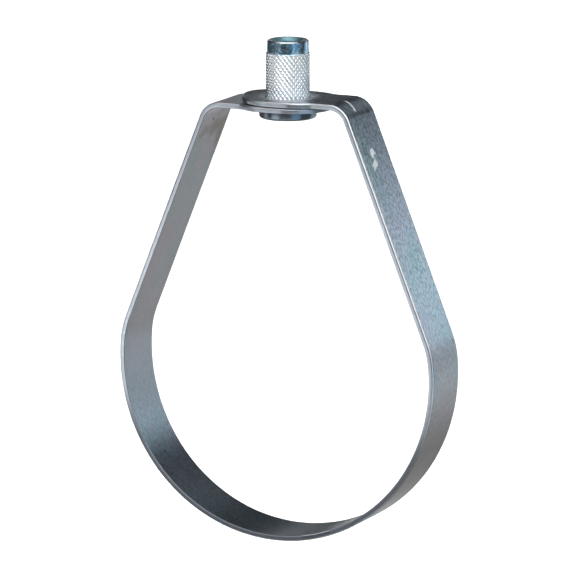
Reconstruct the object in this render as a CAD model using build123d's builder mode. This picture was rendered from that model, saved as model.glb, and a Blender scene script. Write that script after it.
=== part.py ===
from build123d import *
import os
from math import asin, atan2, cos, degrees, radians, sin, sqrt, tan

# Swivel ring hanger for a 4 inch pipe on a 3/8 inch rod, in millimetres.
# One strip of steel is folded into a pear-shaped ring, and its two ends lap over each other at the
# top. A flanged nut stands up through both laps, so the ring can turn under the rod.
# Z runs up the rod and Y along the pipe. Z = 0 is the face of the nut's flange that carries the ring.

# Driving dimensions of the strip, to its inside face
strip_width = 22.0
strip_thickness = 1.9
edge_bevel = 0.3  # left on every cut edge when the blank is tumbled
pipe_seat_radius = 57.4  # under a pipe of 57.15 mm radius
seat_half_angle = 60  # how far the seat reaches round the pipe, each way from the bottom
side_easing = 3.0  # how much larger the radius of the ring's sides is than the seat's
drop = 91.0  # from the nut's seat face down to the centre of the pipe
knee_angle = 9.6  # where each leg leaves the ring's side, above the side's centre
knee_bend_radius = 5.0
leg_offset_at_seat = 25.3  # from the rod's axis to a leg, level with the seat face
shoulder_bend_radius = 6.0

# Driving dimensions of the two eyes that lap over each other
eye_radius = 14.0
eye_root = 4.0  # from the rod's axis back towards the eye's own shoulder
eye_nose = 2.0  # from the rod's axis on towards the eye's tip
eye_flare_radius = 5.0  # where the strip widens into the eye
lap_gap = 0.15  # between the lower eye and the upper one
tip_lift = 0.7  # how far the upper eye's tip is sprung up
lift_start = 3.0  # past the rod's axis, where the upper eye begins to rise

# Driving dimensions of the nut
barrel_radius = 7.6  # over the knurl
collar_radius = 7.15  # the plain top of the barrel
collar_height = 4.5
collar_chamfer = 0.7
barrel_above_laps = 19.65  # from the top of the upper eye to the top of the nut
flange_radius = 9.9
flange_thickness = 3.2
flange_edge_radius = 0.9
tapped_hole_radius = 3.97  # minor diameter of a 3/8 inch coarse thread
thread_radius = 4.76  # major diameter of the same thread
thread_entry = 0.4  # how much wider than the thread each countersink is

# Clearances between the ring and the nut that it turns on
swivel_clearance = 0.3  # all round the barrel, inside the two eyes
seat_clearance = 0.2  # between the flange and the lower eye

# Heights that follow from them
lower_eye_bottom = seat_clearance
upper_eye_bottom = lower_eye_bottom + strip_thickness + lap_gap
nut_top = upper_eye_bottom + strip_thickness + barrel_above_laps
collar_bottom = nut_top - collar_height
pipe_centre = -drop

# The ring's sides run on from the seat at a larger radius, each about a centre across the ring
side_radius = pipe_seat_radius + side_easing
side_centre_x = side_easing * sin(radians(seat_half_angle))
side_centre_z = pipe_centre + side_easing * cos(radians(seat_half_angle))
side_sweep = 90 - seat_half_angle + knee_angle

# Corners of the strip's inside face, seen along the pipe
knee_x = side_radius * cos(radians(knee_angle)) - side_centre_x
knee_z = side_centre_z + side_radius * sin(radians(knee_angle))
leg_slope = (knee_x - leg_offset_at_seat) / -knee_z
left_shoulder_x = -(leg_offset_at_seat - lower_eye_bottom * leg_slope)
right_shoulder_x = leg_offset_at_seat - upper_eye_bottom * leg_slope

# Where the strip is level again after each shoulder, and where it begins to widen into an eye
shoulder_turn = 90 - degrees(atan2(leg_slope, 1))
shoulder_run = shoulder_bend_radius * tan(radians(shoulder_turn / 2))
left_tongue = -left_shoulder_x - shoulder_run
right_tongue = right_shoulder_x - shoulder_run
flare_start = eye_root + sqrt(eye_radius**2 - (strip_width / 2) ** 2)


def eye_outline(tongue_length):
    """The flat shape of an end of the strip: a tongue that flares into an eye with the nut's hole.

    Its tip points along X, and the tongue reaches back by tongue_length from the rod's axis.
    """
    with BuildSketch() as outline:
        with Locations((-tongue_length / 2, 0)):
            Rectangle(tongue_length, strip_width)
        with Locations(((eye_nose - eye_root) / 2, 0)):
            SlotCenterToCenter(eye_root + eye_nose, 2 * eye_radius)
        fillet(outline.vertices().group_by(Axis.X)[1], eye_flare_radius)
        Circle(barrel_radius + swivel_clearance, mode=Mode.SUBTRACT)
    return outline.sketch


# The upper eye is a sheet that runs level past the rod's axis and then curves up to its tip.
# The sheet is bent a little longer than it needs to be, and the outline cuts it to shape.
rise_length = eye_nose + eye_radius - lift_start
rise_radius = (rise_length**2 + tip_lift**2) / (2 * tip_lift)
rise_turn = degrees(asin((rise_length + strip_thickness) / rise_radius))
with BuildPart() as upper_eye:
    with BuildSketch(Plane.XZ):
        with BuildLine():
            level = Line((right_tongue, upper_eye_bottom), (-lift_start, upper_eye_bottom))
            JernArc(level @ 1, level % 1, rise_radius, -rise_turn)
            offset(amount=strip_thickness, side=Side.RIGHT)
        make_face()
    extrude(amount=eye_radius, both=True)
    with BuildSketch():
        mirror(eye_outline(right_tongue), about=Plane.YZ)
    extrude(amount=nut_top, mode=Mode.INTERSECT)

# The band: its ring, legs and shoulders are one bent strip, and each end carries an eye.
with BuildPart() as band:
    with BuildSketch(Plane.XZ):
        with BuildLine() as inside_face:
            FilletPolyline(
                (-flare_start, lower_eye_bottom),
                (left_shoulder_x, lower_eye_bottom),
                (-knee_x, knee_z),
                radius=shoulder_bend_radius,
            )
            CenterArc((side_centre_x, side_centre_z), side_radius, 180 - knee_angle, side_sweep)
            CenterArc((0, pipe_centre), pipe_seat_radius, 270 - seat_half_angle, 2 * seat_half_angle)
            CenterArc((-side_centre_x, side_centre_z), side_radius, 270 + seat_half_angle, side_sweep)
            FilletPolyline(
                (knee_x, knee_z),
                (right_shoulder_x, upper_eye_bottom),
                (flare_start, upper_eye_bottom),
                radius=shoulder_bend_radius,
            )
            knees = inside_face.vertices().group_by(Axis.Y)[1]
            fillet(knees, knee_bend_radius)
            offset(amount=strip_thickness, side=Side.RIGHT)
        make_face()
    extrude(amount=strip_width / 2, both=True)
    with BuildSketch(Plane.XY.offset(lower_eye_bottom)):
        add(eye_outline(left_tongue))
    extrude(amount=strip_thickness)
    add(upper_eye.part)
    # Every cut edge is broken. The straight lines across the strip are only where bends begin.
    cut_edges = band.edges().filter_by(Axis.Y, reverse=True)
    chamfer(cut_edges, edge_bevel)
band.part.label = "band"

# The nut is turned in one piece: a flange, a knurled barrel, a plain collar and a tapped hole.
with BuildPart() as swivel_nut:
    with BuildSketch(Plane.XZ) as nut_section:
        with BuildLine():
            Polyline(
                (tapped_hole_radius, -flange_thickness),
                (flange_radius, -flange_thickness),
                (flange_radius, 0),
                (barrel_radius, 0),
                (barrel_radius, collar_bottom),
                (collar_radius, collar_bottom),
                (collar_radius, nut_top),
                (tapped_hole_radius, nut_top),
                close=True,
            )
        make_face()
        flange_corner = nut_section.vertices().group_by(Axis.Y)[0].sort_by(Axis.X)[-1]
        fillet(flange_corner, flange_edge_radius)
        collar_corner = nut_section.vertices().group_by(Axis.Y)[-1].sort_by(Axis.X)[-1]
        chamfer(collar_corner, collar_chamfer)
        hole_mouths = nut_section.vertices().group_by(Axis.X)[0]
        chamfer(hole_mouths, thread_radius + thread_entry - tapped_hole_radius)
    revolve(axis=Axis.Z)
swivel_nut.part.label = "swivel_nut"

os.makedirs("parts", exist_ok=True)
export_step(band.part, "parts/band.step")
export_step(swivel_nut.part, "parts/swivel_nut.step")
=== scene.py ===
from math import acos, atan2, ceil, cos, pi, radians, sin, sqrt, tan, tau

import bmesh
import bpy
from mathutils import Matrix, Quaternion, Vector


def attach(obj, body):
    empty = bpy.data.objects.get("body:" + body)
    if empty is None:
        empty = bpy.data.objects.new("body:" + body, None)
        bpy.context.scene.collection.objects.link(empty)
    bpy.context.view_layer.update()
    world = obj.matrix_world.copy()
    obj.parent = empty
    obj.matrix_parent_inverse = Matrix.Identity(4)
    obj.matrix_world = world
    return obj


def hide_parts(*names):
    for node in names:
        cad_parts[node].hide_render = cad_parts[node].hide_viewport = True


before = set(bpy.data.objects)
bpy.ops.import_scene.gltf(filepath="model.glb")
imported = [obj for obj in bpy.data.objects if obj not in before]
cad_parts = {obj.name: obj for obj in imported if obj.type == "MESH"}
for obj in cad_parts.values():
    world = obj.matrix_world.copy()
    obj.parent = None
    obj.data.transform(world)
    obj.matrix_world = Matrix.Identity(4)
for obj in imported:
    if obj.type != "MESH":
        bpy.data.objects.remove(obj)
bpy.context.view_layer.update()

# The band.
# One strip of galvanised steel. It is sheared flat with an eye at each end, the cut edges are broken,
# and it is then folded in a press into a pear shape, so that one eye comes to lie on the other.
mm = 0.001
strip_width = 22.0
strip_thickness = 1.9
broken_edge = 0.2  # on the rims that end up inside the ring
rolled_edge = 0.75  # on the rims that end up outside, where the shear pulls the metal over
seat_radius = 57.4
seat_half_angle = radians(60)
side_easing = 3.0  # how much larger the radius of the ring's sides is than the seat's
drop = 91.0  # from the nut's seat face down to the centre of the pipe
knee_angle = radians(9.6)  # where each leg leaves the ring's side, above the side's centre
knee_bend = 30.0
leg_offset = 25.3  # from the rod's axis to a leg, level with the nut's seat face
shoulder_bend = 6.0
eye_radius = 14.0
eye_root = 4.0  # from the rod's axis back towards the eye's own shoulder
eye_nose = 2.0  # from the rod's axis on towards the eye's tip
eye_flare = 5.0
eye_hole = 7.9
lower_eye_level = 0.2
upper_eye_level = 2.25
tip_lift = 0.7  # how far the upper eye's tip is sprung up
lift_start = 3.0  # past the rod's axis, where the upper eye begins to rise
eye_reach = eye_nose + eye_radius

# How the folded strip runs, along its inside face. A leg leans out from the rod down to its knee.
side_radius = seat_radius + side_easing
side_centre = Vector((-side_easing * sin(seat_half_angle), side_easing * cos(seat_half_angle) - drop))
knee = side_centre + side_radius * Vector((cos(knee_angle), sin(knee_angle)))
lean = atan2(knee.x - leg_offset, -knee.y)
leg_outward = Vector((cos(lean), sin(lean)))
leg_distance = leg_outward.dot(knee - side_centre)
knee_start = lean - acos((leg_distance - knee_bend) / (side_radius - knee_bend))
knee_centre = side_centre + (side_radius - knee_bend) * Vector((cos(knee_start), sin(knee_start)))
leg_start = knee_centre + knee_bend * leg_outward
shoulder_turn = pi / 2 - lean
shoulder_run = shoulder_bend * tan(shoulder_turn / 2)


def leg_and_tongue(eye_level):
    """Lengths of a straight leg, and of the flat from its shoulder to the rod, for one eye's height."""
    shoulder = Vector((leg_offset - eye_level * tan(lean), eye_level))
    return (shoulder - leg_start).length - shoulder_run, shoulder.x - shoulder_run


# Each run of the strip is a length and the angle that it turns by, from the lower eye's tip onwards.
lower_leg, lower_tongue = leg_and_tongue(lower_eye_level)
upper_leg, upper_tongue = leg_and_tongue(upper_eye_level)
rise = eye_reach - lift_start
rise_turn = 2 * tip_lift / rise
shoulder = (shoulder_bend * shoulder_turn, shoulder_turn)
half_ring = (
    (knee_bend * (lean - knee_start), lean - knee_start),
    (side_radius * (knee_start + pi / 2 - seat_half_angle), knee_start + pi / 2 - seat_half_angle),
)
runs = (
    (eye_reach + lower_tongue, 0),
    shoulder,
    (lower_leg, 0),
    *half_ring,
    (seat_radius * 2 * seat_half_angle, 2 * seat_half_angle),
    *reversed(half_ring),
    (upper_leg, 0),
    shoulder,
    (upper_tongue + lift_start, 0),
    (rise, -rise_turn),
)
blank_length = sum(length for length, turn in runs)


def folded(place):
    """Where a point of the flat blank comes to lie once the strip is folded."""
    x, z, heading = eye_reach, lower_eye_level, pi
    left = place.x
    for length, turn in runs:
        gone = min(left, length)
        bend = turn * gone / length
        chord = gone if turn == 0 else 2 * length / turn * sin(bend / 2)
        x += chord * cos(heading + bend / 2)
        z += chord * sin(heading + bend / 2)
        heading += bend
        left -= gone
    outward = heading - pi / 2
    return Vector((x + place.z * cos(outward), place.y, z + place.z * sin(outward)))


def arc(mesh, point, centre, turn, step):
    """Carries a point round a centre, leaving edges behind it, and gives the point where it ends."""
    steps = ceil(abs(turn) / step)
    made = bmesh.ops.spin(mesh, geom=[point], cent=centre, axis=(0, 0, 1), angle=turn, steps=steps)
    return made["geom_last"][0]


def line(mesh, point, place):
    """Draws an edge from a point to a place, and gives the point there."""
    end = bmesh.ops.extrude_vert_indiv(mesh, verts=[point])["verts"][0]
    end.co = place
    return end


# One side of the blank's outline is drawn from the tip of each eye, and mirrored across its middle.
band_mesh = bmesh.new()
half_strip = strip_width / 2
flare_x = sqrt((eye_radius + eye_flare) ** 2 - (half_strip + eye_flare) ** 2)
flare_turn = atan2(flare_x, half_strip + eye_flare)
eye_step = radians(3)
for tip, onward in ((0, 1), (blank_length, -1)):
    rod = tip + onward * eye_reach
    root = rod + onward * eye_root
    pen = band_mesh.verts.new((tip, 0, 0))
    pen = arc(band_mesh, pen, (rod - onward * eye_nose, 0, 0), -onward * pi / 2, eye_step)
    pen = line(band_mesh, pen, (root, eye_radius, 0))
    pen = arc(band_mesh, pen, (root, 0, 0), -onward * flare_turn, eye_step)
    flare_centre = (root + onward * flare_x, half_strip + eye_flare, 0)
    pen = arc(band_mesh, pen, flare_centre, onward * flare_turn, 2 * eye_step)
    line(band_mesh, pen, (blank_length / 2, half_strip, 0))
    arc(band_mesh, band_mesh.verts.new((rod + eye_hole, 0, 0)), (rod, 0, 0), pi, eye_step)
bmesh.ops.mirror(band_mesh, geom=band_mesh.verts[:] + band_mesh.edges[:], axis="Y", merge_dist=0.001)
bmesh.ops.remove_doubles(band_mesh, verts=band_mesh.verts, dist=0.001)
bmesh.ops.triangle_fill(band_mesh, edges=band_mesh.edges, use_beauty=True, use_dissolve=True)

# The blank gets its thickness. Then its lower rims are broken, and its upper ones rolled over.
raised = bmesh.ops.extrude_face_region(band_mesh, geom=band_mesh.faces[:], use_keep_orig=True)["geom"]
raised_corners = [part for part in raised if isinstance(part, bmesh.types.BMVert)]
bmesh.ops.translate(band_mesh, verts=raised_corners, vec=(0, 0, strip_thickness))
bmesh.ops.recalc_face_normals(band_mesh, faces=band_mesh.faces)
for level, rounding, segments in ((0, broken_edge, 2), (strip_thickness, rolled_edge, 5)):
    rims = [
        edge
        for edge in band_mesh.edges
        if edge.calc_face_angle() > radians(45) and all(abs(end.co.z - level) < 0.01 for end in edge.verts)
    ]
    bmesh.ops.bevel(
        band_mesh, geom=rims, offset=rounding, affect="EDGES", segments=segments, profile=0.5, material=-1
    )

# It is creased wherever it bends, and folded. Each point keeps its place on the flat blank.
crease_spacing = radians(2)
gone = 0
for length, turn in runs:
    creases = max(1, ceil(abs(turn) / crease_spacing))
    for crease in range(creases):
        bmesh.ops.bisect_plane(
            band_mesh,
            geom=band_mesh.verts[:] + band_mesh.edges[:] + band_mesh.faces[:],
            dist=0.0001,
            plane_co=(gone + length * crease / creases, 0, 0),
            plane_no=(1, 0, 0),
        )
    gone += length
on_blank = band_mesh.verts.layers.float_vector.new("on_blank")
for corner in band_mesh.verts:
    corner[on_blank] = corner.co * mm
    corner.co = folded(corner.co) * mm
bmesh.ops.recalc_face_normals(band_mesh, faces=band_mesh.faces)
band = bpy.data.objects.new("folded_band", bpy.data.meshes.new("folded_band"))
band_mesh.to_mesh(band.data)
bpy.context.scene.collection.objects.link(band)
band.data.shade_smooth()

# The flat faces keep their own even shading beside the rounded rims.
even = band.modifiers.new("even_shading", "WEIGHTED_NORMAL")
even.weight = 100


class Value:
    """A number, colour or place that varies over a finish, and can be reckoned with."""

    def __init__(self, finish, socket):
        self.finish = finish
        self.socket = socket

    def reckon(self, operation, *terms):
        """What a Math node makes of some terms."""
        return self.finish.node("ShaderNodeMath", {"operation": operation}, dict(enumerate(terms)))

    def __add__(self, other):
        return self.reckon("ADD", self, other)

    def __sub__(self, other):
        return self.reckon("SUBTRACT", self, other)

    def __rsub__(self, other):
        return self.reckon("SUBTRACT", other, self)

    def __mul__(self, other):
        return self.reckon("MULTIPLY", self, other)

    def __truediv__(self, other):
        return self.reckon("DIVIDE", self, other)

    def __abs__(self):
        return self.reckon("ABSOLUTE", self)

    __radd__ = __add__
    __rmul__ = __mul__


class Finish:
    """The surface of one piece: a metal whose colour, roughness and relief are worked out by nodes."""

    def __init__(self, piece, name):
        material = bpy.data.materials.new(name)
        material.use_nodes = True
        self.nodes = material.node_tree.nodes
        self.links = material.node_tree.links
        self.metal = self.nodes["Principled BSDF"]
        self.metal.inputs["Metallic"].default_value = 1
        piece.data.materials.append(material)

    def node(self, kind, settings, sockets, output=0):
        """Adds a node, sets it and its sockets up, and gives the value that comes out of it."""
        made = self.nodes.new(kind)
        for name, setting in settings.items():
            setattr(made, name, setting)
        for name, value in sockets.items():
            if isinstance(value, Value):
                self.links.new(value.socket, made.inputs[name])
            else:
                made.inputs[name].default_value = value
        return Value(self, made.outputs[output])

    def noise(self, place, size, stretch=(1, 1, 1), detail=2):
        """Soft noise about 0.5, in blotches of about a size in millimetres, stretched along some axes."""
        scale = [1 / (size * mm * longer) for longer in stretch]
        scaled = self.node("ShaderNodeVectorMath", {"operation": "MULTIPLY"}, {0: place, 1: scale})
        return self.node("ShaderNodeTexNoise", {}, {"Vector": scaled, "Scale": 1, "Detail": detail})

    def rise(self, value, low, high):
        """0 below a low value and 1 above a high one, with a smooth slope between them."""
        sockets = {"Value": value, "From Min": low, "From Max": high}
        return self.node("ShaderNodeMapRange", {"interpolation_type": "SMOOTHSTEP"}, sockets)

    def blend(self, factor, first, second, way="MIX"):
        """Two colours made one. A Mix node takes them in its sockets 6 and 7, and gives them out at 2."""
        settings = {"data_type": "RGBA", "blend_type": way}
        return self.node("ShaderNodeMix", settings, {0: factor, 6: first, 7: second}, 2)

    def wear(self, colour, roughness, relief, height):
        """Joins the worked-out values to the metal. The relief is a number, and its full height a length."""
        self.links.new(colour.socket, self.metal.inputs["Base Color"])
        self.links.new(roughness.socket, self.metal.inputs["Roughness"])
        bump = self.node("ShaderNodeBump", {}, {"Height": relief, "Distance": height, "Strength": 1})
        self.links.new(bump.socket, self.metal.inputs["Normal"])


# Its coat of zinc is cool grey with cloudy tints, fine frosty grains and faint lines of rolling. The
# grains show most on the straight right leg, which is the one at +X, and on a patch inside the ring at
# the lower left, which is also painted darker there as shade.
zinc_grey = (0.40, 0.44, 0.48, 1)
teal_grey = (0.35, 0.43, 0.44, 1)
lavender_grey = (0.43, 0.425, 0.475, 1)
coat = Finish(band, "galvanised_strip")
on_strip = coat.node("ShaderNodeAttribute", {"attribute_name": "on_blank"}, {}, "Vector")
along, across, deep = (
    coat.node("ShaderNodeSeparateXYZ", {}, {"Vector": on_strip}, axis) / mm for axis in ("X", "Y", "Z")
)
seat = blank_length / 2
outside = coat.rise(deep, strip_thickness * 0.45, strip_thickness * 0.55)
inside = 1 - outside
on_leg = coat.rise(along, seat + 85, seat + 125) * outside


def near(place, full, none):
    """1 along the strip up to a full distance from a place, fading to 0 at a greater one."""
    return coat.rise(abs(along - place), none, full)


# A patch inside the ring at the lower left gets stronger speckle and painted shade.
grainy_shade_patch = near(seat - 42, 15, 46) * inside
clouds = coat.noise(on_strip, 22, (1.5, 1, 1))
tint = coat.noise(on_strip, 13, (1.5, 1, 1))
grain = coat.noise(on_strip, 0.9, (1.6, 1, 1), 3)
rolling = coat.noise(on_strip, 0.5, (120, 1, 1))
crystals = {"Vector": on_strip, "Scale": 500, "Smoothness": 0.3}
frost = coat.node("ShaderNodeTexVoronoi", {"feature": "SMOOTH_F1"}, crystals, "Color")
frost = coat.node("ShaderNodeSeparateColor", {}, {"Color": frost}, "Red")
speckle = coat.rise(grain, 0.36, 0.64) - 0.5
fleck = coat.rise(coat.noise(on_strip, 0.5, (1.4, 1, 1)), 0.35, 0.65) - 0.5
speckle_strength = 0.14 + 0.12 * outside + 0.34 * on_leg + 0.4 * grainy_shade_patch
frost_strength = 0.08 + 0.16 * on_leg
coat_tone = 0.88 - 0.06 * on_leg + speckle_strength * speckle + 0.3 * on_leg * fleck
coat_tone = coat_tone + frost_strength * frost + 0.15 * rolling
coat_tones = coat.node("ShaderNodeCombineColor", {}, {"Red": coat_tone, "Green": coat_tone, "Blue": coat_tone})
colour = coat.blend(coat.rise(clouds, 0.35, 0.65), zinc_grey, lavender_grey)
colour = coat.blend(coat.rise(tint, 0.5, 0.75), colour, teal_grey)
colour = coat.blend(1, colour, coat_tones, "MULTIPLY")


def from_spot(x, y, z):
    """How far the surface lies from a spot on the blank, in millimetres."""
    spot = (x * mm, y * mm, z * mm)
    return coat.node("ShaderNodeVectorMath", {"operation": "DISTANCE"}, {0: on_strip, 1: spot}, "Value") / mm


def dash(start, end, half_width, softness=0.25):
    """A straight mark between two places, each given along the blank from its first tip and across it."""
    start, end = Vector(start), Vector(end)
    middle, way = (start + end) / 2, (end - start).normalized()
    half_length = (end - start).length / 2
    ahead = abs((along - middle.x) * way.x + (across - middle.y) * way.y)
    aside = abs((across - middle.y) * way.x - (along - middle.x) * way.y)
    within_ends = coat.rise(ahead, half_length + softness, half_length - softness)
    return within_ends * coat.rise(aside, half_width + softness, half_width - softness)


# A smear of drawing oil is left inside the left shoulder, round the small pit of a location punch.
oil_brown = (0.23, 0.20, 0.16, 1)
dark_speck = (0.01, 0.01, 0.01, 1)
stain_place = 49
thinning = abs(along - stain_place) / 30 - across / 60
stain = coat.rise(coat.noise(on_strip, 6) - thinning, 0.25, 0.6) * inside
colour = coat.blend(0.7 * stain, colour, oil_brown)
pit = coat.rise(from_spot(46.2, -1.9, 0), 0.7, 0.3)
colour = coat.blend(pit, colour, dark_speck)

# Bare bright metal shows where the right leg was struck and scratched. Painted highlights run along the
# right leg's front edge, with a second bright line painted 2 mm inboard of it, and along the inside of
# the front rim at the bottom of the ring. The two dings have ragged edges.
bright_metal = (0.93, 0.94, 0.96, 1)
dings = dash((401.5, -2.2), (399.1, -1.2), 1.7, 0.9) + dash((397.2, -3.2), (395.2, -2.3), 2.1, 0.9)
ragged = coat.noise(on_strip, 0.9, (1, 1, 1), 3)
dings = coat.rise(dings, 0, 0.3) * coat.rise(dings + 3.2 * ragged, 1.95, 2.15)
scratches = dash((419.5, -0.5), (415.1, -2.7), 0.5) + dash((361.9, 6.2), (357.2, 6.5), 0.25)
# Painted highlight along the right leg's front edge, and a second bright line 2 mm inboard of it.
edge_highlight_lines = dash((412, -8.6), (374, -8.4), 0.1, 0.15) + dash((406, -10.2), (345, -10.2), 0.12, 0.15)
# Painted highlight along the inside of the front rim at the bottom of the ring.
rim_highlight = dash((seat + 10, -10.9), (seat + 20.5, -10.9), 0.2, 0.15)
bare_and_highlit = coat.rise((dings + scratches + edge_highlight_lines) * outside + rim_highlight * inside, 0.1, 0.9)
colour = coat.blend(bare_and_highlit, colour, bright_metal)

# The upper eye is painted paler round the nut, as a reflection of the knurl. The patch inside the ring at
# the lower left is painted darker, as shade, and the outside at the lower right is darker brown.
knurl_reflection_zinc = (0.78, 0.84, 0.88, 1)
shade_grey = (0.17, 0.19, 0.22, 1)
patch_brown = (0.13, 0.125, 0.11, 1)
# Painted reflection of the knurl on the upper eye round the nut, which is made rougher there too.
knurl_reflection = coat.rise(from_spot(blank_length - eye_reach, 0, strip_thickness), 12.5, 8.5) * outside
colour = coat.blend(0.7 * knurl_reflection, colour, knurl_reflection_zinc)
colour = coat.blend(0.45 * grainy_shade_patch, colour, shade_grey)
# The outside at the lower right is darker brown.
lower_right_patch = near(seat + 59, 4, 24) * outside
colour = coat.blend(0.6 * lower_right_patch, colour, patch_brown)

# The cut faces are paler than the coat, with a dark line of painted shade along their inner rim and a
# painted highlight along the crest of the outer rim. Round the pipe's seat they are painted dark grey all
# over, as shade.
cut_edge_grey = (0.52, 0.57, 0.63, 1)
round_seat = near(seat, 62, 88)
inner_rim = coat.rise(deep, 0.3, 0.2) * coat.rise(abs(across), half_strip - 0.25, half_strip - 0.15)
colour = coat.blend(0.8 * inner_rim * (1 - round_seat), colour, shade_grey)
cut_face = coat.rise(deep, 0.1, 0.25) * coat.rise(deep, strip_thickness - 0.2, strip_thickness - rolled_edge)
colour = coat.blend(cut_face, colour, coat.blend(round_seat, cut_edge_grey, shade_grey))
# Painted highlight along the crest of the rolled outer rim, away from the seat.
crest_highlight = coat.rise(deep, 1.45, 1.6) * coat.rise(deep, strip_thickness - 0.06, strip_thickness - 0.16)
crest_highlight = crest_highlight * (0.55 + 0.9 * clouds) * (1 - round_seat)
colour = coat.blend(crest_highlight, colour, bright_metal)
scatter = coat.noise(on_strip, 0.8)
roughness = 0.2 + 0.12 * grain + 0.06 * rolling + 0.06 * frost + 0.5 * bare_and_highlit + 0.25 * knurl_reflection
relief = 0.5 * grain + 0.5 * rolling + 2 * bare_and_highlit * scatter
coat.wear(colour, roughness, relief, 0.003 * mm)

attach(band, "ring")
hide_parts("band")

# The nut.
# It is turned in one piece from bright zinc-plated steel: a flange that carries the band, a knurled
# barrel to grip, a plain collar, and a coarse thread tapped right through for the rod.
barrel_radius = 7.6
collar_radius = 7.15
collar_bottom = 19.3
collar_chamfer = 0.5
nut_top = 23.8
flange_radius = 9.9
flange_thickness = 3.2
flange_edge = 0.9
seat_edge = 0.25
mouth_radius = 5.16
thread_minor = 3.97
thread_major = 4.76
thread_pitch = 25.4 / 16
knurl_starts = 29
knurl_rise = 2.0
knurl_depth = 0.42
cross_depth = 0.28
groove_share = 0.8  # of the knurl's pitch that a groove takes, the rest being its crest
samples_across = 10  # of the mesh, in one pitch of the knurl
columns = knurl_starts * samples_across
flange_segments = 6

# Its outside is half a section, turned about the rod.
nut_mesh = bmesh.new()
section = [nut_mesh.verts.new((mouth_radius, 0, -flange_thickness))]


def cut_to(radius, height):
    """Carries the lathe tool in a straight line to a radius and a height."""
    section.append(line(nut_mesh, section[-1], (radius, 0, height)))


cut_to(flange_radius - flange_edge, -flange_thickness)
for segment in range(1, flange_segments + 1):
    turned = pi / 2 * segment / flange_segments
    radius = flange_radius - flange_edge * (1 - sin(turned))
    cut_to(radius, -flange_thickness + flange_edge * (1 - cos(turned)))
cut_to(flange_radius, -seat_edge)
cut_to(flange_radius - seat_edge, 0)
cut_to(collar_radius, 0)
knurl_rows = round(collar_bottom / knurl_rise * samples_across)
for row in range(1, knurl_rows + 1):
    cut_to(barrel_radius, collar_bottom * row / knurl_rows)
cut_to(collar_radius, collar_bottom)
cut_to(collar_radius, nut_top - collar_chamfer)
cut_to(collar_radius - collar_chamfer, nut_top)
cut_to(mouth_radius, nut_top)
turning = {"cent": (0, 0, 0), "axis": (0, 0, 1), "angle": tau, "steps": columns}
bmesh.ops.spin(nut_mesh, geom=nut_mesh.verts[:] + nut_mesh.edges[:], use_merge=True, **turning)


def groove(pitches):
    """How deep a rolled groove is, so many pitches round, from 0 on the crest to 1 at its bottom."""
    from_bottom = abs(pitches % 1 - 0.5) * 2
    return max(0, 1 - from_bottom / groove_share)


# The knurling wheels roll one set of grooves each way round the barrel, the first deeper.
for corner in nut_mesh.verts:
    reach = corner.co.xy.length
    if abs(reach - barrel_radius) < 0.001:
        around = knurl_starts * atan2(corner.co.y, corner.co.x) / tau
        climb = corner.co.z / knurl_rise
        depth = max(knurl_depth * groove(around + climb), cross_depth * groove(around - climb))
        corner.co.xy *= (barrel_radius - depth) / reach

# The tap leaves a thread of 60 degrees, and each mouth of the hole is countersunk to just past it.
thread_crest = thread_pitch / 4
flank = (thread_major - thread_minor) * tan(radians(30))
bore = bmesh.new()
tap = [bore.verts.new((thread_minor, 0, -flange_thickness - 2 * thread_pitch))]
while tap[-1].co.z < nut_top + thread_pitch:
    bottom = tap[-1].co.z
    for radius, height in (
        (thread_minor, thread_crest),
        (thread_major, thread_crest + flank),
        (thread_major, thread_pitch - flank),
        (thread_minor, thread_pitch),
    ):
        tap.append(line(bore, tap[-1], (radius, 0, bottom + height)))
lead = (0, 0, thread_pitch / columns)
bmesh.ops.spin(bore, geom=bore.verts[:] + bore.edges[:], dvec=lead, **turning)
for corner in bore.verts:
    height = min(max(corner.co.z, -flange_thickness), nut_top)
    from_mouth = min(height + flange_thickness, nut_top - height)
    reach = max(corner.co.xy.length, mouth_radius - from_mouth)
    corner.co.xy *= reach / corner.co.xy.length
    corner.co.z = height
bore_shape = bpy.data.meshes.new("bore")
bore.to_mesh(bore_shape)
nut_mesh.from_mesh(bore_shape)
bmesh.ops.remove_doubles(nut_mesh, verts=nut_mesh.verts, dist=0.002)
bmesh.ops.dissolve_degenerate(nut_mesh, edges=nut_mesh.edges, dist=0.001)
bmesh.ops.scale(nut_mesh, verts=nut_mesh.verts, vec=(mm, mm, mm))
bmesh.ops.recalc_face_normals(nut_mesh, faces=nut_mesh.faces)
nut = bpy.data.objects.new("knurled_nut", bpy.data.meshes.new("knurled_nut"))
nut_mesh.to_mesh(nut.data)
bpy.context.scene.collection.objects.link(nut)
nut.data.shade_smooth()
nut.data.set_sharp_from_angle(angle=radians(35))

# Its bright zinc is passivated to a faint blue. The collar is painted a darker blue, as shade, with pale
# painted reflections in blotches, and its chamfer keeps the plain zinc colour. The bore's darker teal and
# the flange's dark grey are painted shade.
bright_zinc = (0.94, 0.97, 0.99, 1)
blue_zinc = (0.80, 0.89, 0.95, 1)
collar_shade_blue = (0.34, 0.58, 0.74, 1)
pale_reflection_blue = (0.70, 0.86, 0.95, 1)
bore_shade_teal = (0.30, 0.52, 0.58, 1)
flange_shade_grey = (0.20, 0.245, 0.29, 1)
plating = Finish(nut, "bright_zinc_steel")
on_nut = plating.node("ShaderNodeTexCoord", {}, {}, "Object")
height_up = plating.node("ShaderNodeSeparateXYZ", {}, {"Vector": on_nut}, "Z") / mm
level_place = plating.node("ShaderNodeVectorMath", {"operation": "MULTIPLY"}, {0: on_nut, 1: (1, 1, 0)})
from_rod = plating.node("ShaderNodeVectorMath", {"operation": "LENGTH"}, {0: level_place}, "Value") / mm
in_bore = plating.rise(from_rod, 6.2, 5.6)
on_collar = plating.rise(height_up, collar_bottom - 0.1, collar_bottom + 0.3)
on_chamfer = plating.rise(height_up, nut_top - collar_chamfer - 0.05, nut_top - collar_chamfer + 0.05)
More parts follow.
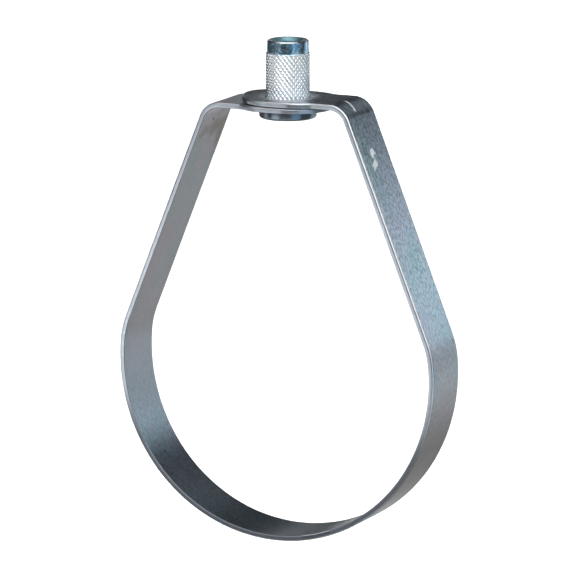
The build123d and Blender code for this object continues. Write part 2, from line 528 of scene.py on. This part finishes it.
on_flange = plating.rise(height_up, 0.2, -0.1)
on_knurl = (1 - on_collar) * (1 - on_flange) * (1 - in_bore)
cloud = plating.noise(on_nut, 4)
collar_blotches = plating.noise(on_nut, 1.6)
colour = plating.blend(plating.rise(cloud, 0.4, 0.7), bright_zinc, blue_zinc)
# The collar is painted darker blue as shade, with pale painted reflections in blotches.
collar_colour = plating.blend(plating.rise(collar_blotches, 0.45, 0.7), collar_shade_blue, pale_reflection_blue)
colour = plating.blend(on_collar * (1 - 0.8 * on_chamfer), colour, collar_colour)
# Painted shade: the bore darker teal, the flange dark grey.
colour = plating.blend(in_bore, colour, bore_shade_teal)
colour = plating.blend(on_flange, colour, flange_shade_grey)
roughness = 0.1 + 0.08 * cloud + 0.12 * collar_blotches * on_collar
roughness = roughness + 0.08 * on_flange + 0.25 * in_bore + 0.1 * on_knurl
relief = 0.06 * cloud + (0.02 + 0.98 * on_collar) * collar_blotches
plating.wear(colour, roughness, relief, 0.15 * mm)

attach(nut, "nut")
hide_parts("swivel_nut")

# The studio.
# A pale floor well under the ring, which fills the picture's ground, soft lights and a long lens.
focal_length = 362
film_width = 36
distance = 2.0
aim = Vector((0.03, 0, -63.0)) * mm
azimuth = radians(24.88)
elevation = radians(11.2)
away = Vector((sin(azimuth) * cos(elevation), -cos(azimuth) * cos(elevation), sin(elevation)))
camera = bpy.data.objects.new("camera", bpy.data.cameras.new("camera"))
bpy.context.scene.collection.objects.link(camera)
camera.data.lens = focal_length
camera.data.sensor_width = film_width
camera.location = aim + away * distance
camera.rotation_mode = "QUATERNION"
camera.rotation_quaternion = (-away).to_track_quat("-Z", "Y")
bpy.context.scene.camera = camera

# The floor is pale paper, far enough down that no shadow of the ring shows on it in the picture.
floor_level = -0.4
floor_half_width = 6
paper_white = (0.86, 0.85, 0.83, 1)
floor_mesh = bmesh.new()
bmesh.ops.create_grid(floor_mesh, x_segments=1, y_segments=1, size=floor_half_width)
bmesh.ops.translate(floor_mesh, verts=floor_mesh.verts, vec=(0, 0, floor_level))
floor = bpy.data.objects.new("paper_floor", bpy.data.meshes.new("paper_floor"))
floor_mesh.to_mesh(floor.data)
bpy.context.scene.collection.objects.link(floor)
paper = bpy.data.materials.new("paper")
paper.use_nodes = True
matt = paper.node_tree.nodes["Principled BSDF"]
matt.inputs["Base Color"].default_value = paper_white
matt.inputs["Roughness"].default_value = 0.9
matt.inputs["Specular IOR Level"].default_value = 0
floor.data.materials.append(paper)


def direction(around, above):
    """The way from the object to a point that is so many degrees round from the camera and above level."""
    turned, raised = azimuth + radians(around), radians(above)
    return Vector((sin(turned) * cos(raised), -cos(turned) * cos(raised), sin(raised)))


def softbox(name, place, towards, width, height, glow, colour=(1, 1, 1), spread=180):
    """A rectangular soft light that shines from a place towards another, with an even glow.

    A grid narrows its spread. Blender would then gather the same energy into a brighter beam.
    """
    gathered = 1 - radians(spread) / 2 * tan(radians(180 - spread) / 2)
    light = bpy.data.lights.new(name, "AREA")
    light.shape = "RECTANGLE"
    light.size = width
    light.size_y = height
    light.energy = glow * pi * width * height * gathered
    light.color = colour
    light.spread = radians(spread)
    box = bpy.data.objects.new(name, light)
    bpy.context.scene.collection.objects.link(box)
    box.location = place
    box.rotation_mode = "QUATERNION"
    box.rotation_quaternion = (Vector(towards) - Vector(place)).to_track_quat("-Z", "Y")


# Panels stand about the ring and face its middle.
middle = Vector((0, 0, -0.06))
panel_spread = 100


def panel(name, around, above, width, height, glow, colour=(1, 1, 1), far=0.9):
    """A soft light that faces the object from one side, gridded so that little of it reaches the floor."""
    place = middle + far * direction(around, above)
    softbox(name, place, middle, width, height, glow, colour, panel_spread)


panel("front", 12, 38, 1.0, 0.7, 2.15)
panel("right", 60, 26, 1.2, 0.8, 1.4)
panel("left_high", 315, 50, 1.4, 0.9, 0.6)
panel("left_level", 300, 12, 0.8, 0.3, 1.6)
panel("left_low", 308, -12, 0.22, 0.1, 1.8, far=0.4)
panel("top", 0, 85, 0.9, 0.9, 1.15)
panel("behind", 190, 13, 0.3, 0.15, 0.7)
panel("low_blue", 36, -10, 0.55, 0.2, 0.85, (0.35, 0.7, 1.0), 0.7)
panel("right_blue", 62, -12, 0.3, 0.15, 0.8, (0.3, 0.7, 1.0))

# Glowing cards stand close by, each where one stretch of the band mirrors it.
for name, around, height, far, width, tall, glow, colour in (
    ("shoulder_card", 145, 0.225, 0.5, 0.3, 0.14, 0.3, (0.8, 1.0, 1.05)),
    ("upper_card", 121, 0.005, 0.5, 0.3, 0.09, 1.35, (0.78, 0.98, 1.1)),
    ("lower_card", 129, -0.1275, 0.5, 0.4, 0.165, 0.57, (0.92, 1.0, 1.05)),
    ("rim_card", 245, -0.12, 0.26, 0.25, 0.16, 0.75, (1, 1, 1)),
):
    level = Vector((0, 0, height))
    softbox(name, level + far * direction(around, 0), level, width, tall, glow, colour)

# Lamps over the floor light the picture's ground, and the patches of it that the bright metal mirrors.
lamp_height = 0.95


def ground_lamp(name, around, out, width, length, spread, glow, colour=(1, 1, 1)):
    """A lamp that hangs over the floor and shines straight down through a grid, so it lights only a patch."""
    place = out * direction(around, 0) + Vector((0, 0, floor_level + lamp_height))
    softbox(name, place, place - Vector((0, 0, 1)), width, length, glow, colour, spread)
    bpy.data.objects[name].rotation_quaternion = Quaternion((0, 0, 1), azimuth + radians(around))


ground_lamp("ground", 180, 2.06, 0.6, 2.6, 40, 44)
for around in (20, 65, 110, 245, 290, 335):
    ground_lamp(f"ground_{around}", around, 1.2, 0.8, 0.7, 40, 13)
ground_lamp("left_patch", 147, 0.72, 0.35, 0.35, 50, 7.2, (1.0, 0.96, 0.92))
ground_lamp("side_patch", 128, 1.1, 0.4, 0.4, 50, 12)
ground_lamp("front_patch", 0, 0.8, 0.6, 0.6, 50, 15)

# The rest of the room is dim. The colours are shown as they are, with no film curve.
dim_room = (0.045, 0.053, 0.06, 1)
world = bpy.data.worlds.new("studio")
bpy.context.scene.world = world
world.use_nodes = True
world.node_tree.nodes["Background"].inputs["Color"].default_value = dim_room
bpy.context.scene.view_settings.view_transform = "Standard"
